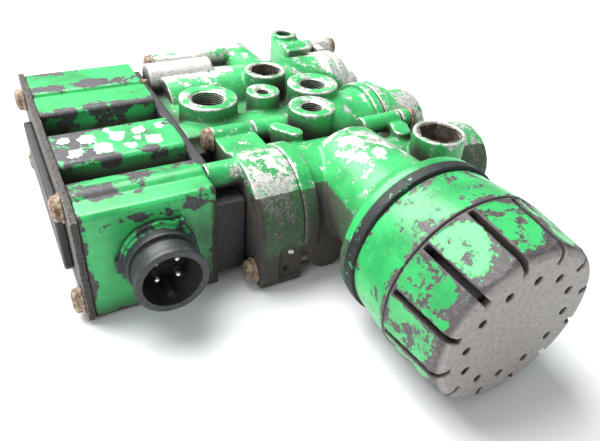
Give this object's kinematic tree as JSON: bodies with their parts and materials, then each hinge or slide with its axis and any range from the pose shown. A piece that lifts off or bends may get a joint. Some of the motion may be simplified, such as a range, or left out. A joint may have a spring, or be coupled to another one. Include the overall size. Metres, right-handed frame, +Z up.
{
  "type": "twin relay solenoid valve",
  "caption": "Compressed-air brake modulator: two opposed relay pistons, three pilot solenoids, threaded ports, bayonet cable socket and push-in exhaust silencer.",
  "frame": {"origin": "middle of the overall box, on the surface that the valve stands on", "axes": "+Z up, +X along the relay and solenoid axes from the solenoid block to the guide cap, -Y the way the silencer points"},
  "size_m": [0.258, 0.312, 0.0904],
  "materials": {
    "solenoid_steel": "ground",
    "spring_steel": "drawn wire",
    "coil_winding": "overmoulded winding",
    "socket_plastic": "moulded, worn grey at the edges",
    "bright_steel": "turned",
    "damping_fibre": "needled fibre",
    "pad_plastic": "moulded",
    "end_plate_steel": "plain steel with rust and dirt",
    "rusty_steel": "rusted screw heads",
    "seal_rubber": "moulded rubber",
    "painted_casting": "gloss green overspray on die-cast aluminium, worn through in places",
    "piston_aluminium": "anodised",
    "plug_aluminium": "dull, weathered",
    "black_plastic": "moulded",
    "seat_brass": "turned",
    "turned_aluminium": "turned",
    "silencer_plastic": "weathered black plastic with remains of green overspray",
    "painted_collar": "black plastic under green overspray",
    "contact_silver": "silver-plated",
    "painted_moulding": "black glass-filled plastic with flaking green overspray",
    "strainer_mesh": "woven mesh"
  },
  "bodies": {
    "housing": {"back_armature_spring": "spring_steel", "back_coil": "coil_winding", "back_pole_tube": "solenoid_steel", "cable_socket": "socket_plastic", "cover_locating_pin": "bright_steel", "damping_sleeve": "damping_fibre", "end_pad": "pad_plastic", "end_plate": "end_plate_steel", "front_armature_spring": "spring_steel", "front_coil": "coil_winding", "front_cover_screws": "rusty_steel", "front_cover_seal": "seal_rubber", "front_guide_cap": "painted_casting", "front_pole_tube": "solenoid_steel", "front_relay_cover": "painted_casting", "front_socket_plug": "plug_aluminium", "front_valve_guide": "black_plastic", "front_valve_spring": "spring_steel", "main_body": "painted_casting", "middle_armature_spring": "spring_steel", "middle_coil": "coil_winding", "middle_pole_tube": "solenoid_steel", "passage_screw": "rusty_steel", "pilot_manifold": "black_plastic", "pilot_valve_seats": "seat_brass", "rear_cover_gasket": "seal_rubber", "rear_cover_screws": "rusty_steel", "rear_guide_cap": "turned_aluminium", "rear_relay_cover": "painted_casting", "rear_socket_plug": "plug_aluminium", "rear_valve_guide": "black_plastic", "rear_valve_spring": "spring_steel", "silencer_cap": "silencer_plastic", "silencer_collar": "painted_collar", "silencer_seal_ring": "seal_rubber", "socket_pins": "contact_silver", "socket_seal": "seal_rubber", "solenoid_block_screws": "rusty_steel", "solenoid_housing": "painted_moulding", "supply_cover_screws": "rusty_steel", "supply_end_cover": "painted_casting", "supply_strainer": "strainer_mesh"},
    "front_piston": {"front_relay_piston": "piston_aluminium", "front_piston_ring": "seal_rubber"},
    "front_valve": {"front_inlet_valve": "seal_rubber"},
    "rear_piston": {"rear_relay_piston": "piston_aluminium", "rear_piston_ring": "seal_rubber"},
    "rear_valve": {"rear_inlet_valve": "seal_rubber"},
    "front_armature": {"front_armature": "solenoid_steel"},
    "middle_armature": {"middle_armature": "solenoid_steel"},
    "back_armature": {"back_armature": "solenoid_steel"}
  },
  "joints": [
    {"name": "front_piston_slide", "type": "slide", "parent": "housing", "child": "front_piston", "axis": [1, 0, 0], "range_m": [0, 0.004], "stiffness_N_per_m": 1500, "springref_m": -0.004},
    {"name": "rear_piston_slide", "type": "slide", "parent": "housing", "child": "rear_piston", "axis": [-1, 0, 0], "range_m": [0, 0.004], "stiffness_N_per_m": 1500, "springref_m": -0.004},
    {"name": "front_valve_slide", "type": "slide", "parent": "housing", "child": "front_valve", "axis": [1, 0, 0], "range_m": [0, 0.0025], "deforming": ["front_valve_spring"]},
    {"name": "rear_valve_slide", "type": "slide", "parent": "housing", "child": "rear_valve", "axis": [-1, 0, 0], "range_m": [0, 0.0025], "deforming": ["rear_valve_spring"]},
    {"name": "front_armature_slide", "type": "slide", "parent": "housing", "child": "front_armature", "axis": [-1, 0, 0], "range_m": [0, 0.0008], "stiffness_N_per_m": 1200, "springref_m": -0.002, "deforming": ["front_armature_spring"]},
    {"name": "middle_armature_slide", "type": "slide", "parent": "housing", "child": "middle_armature", "axis": [-1, 0, 0], "range_m": [0, 0.0008], "stiffness_N_per_m": 1200, "springref_m": -0.002, "deforming": ["middle_armature_spring"]},
    {"name": "back_armature_slide", "type": "slide", "parent": "housing", "child": "back_armature", "axis": [-1, 0, 0], "range_m": [0, 0.0008], "stiffness_N_per_m": 1200, "springref_m": -0.002, "deforming": ["back_armature_spring"]}
  ],
  "couplings": [
    {"joint": "front_valve_slide", "follows": "front_piston_slide", "ratio": 0.625},
    {"joint": "rear_valve_slide", "follows": "rear_piston_slide", "ratio": 0.625}
  ]
}
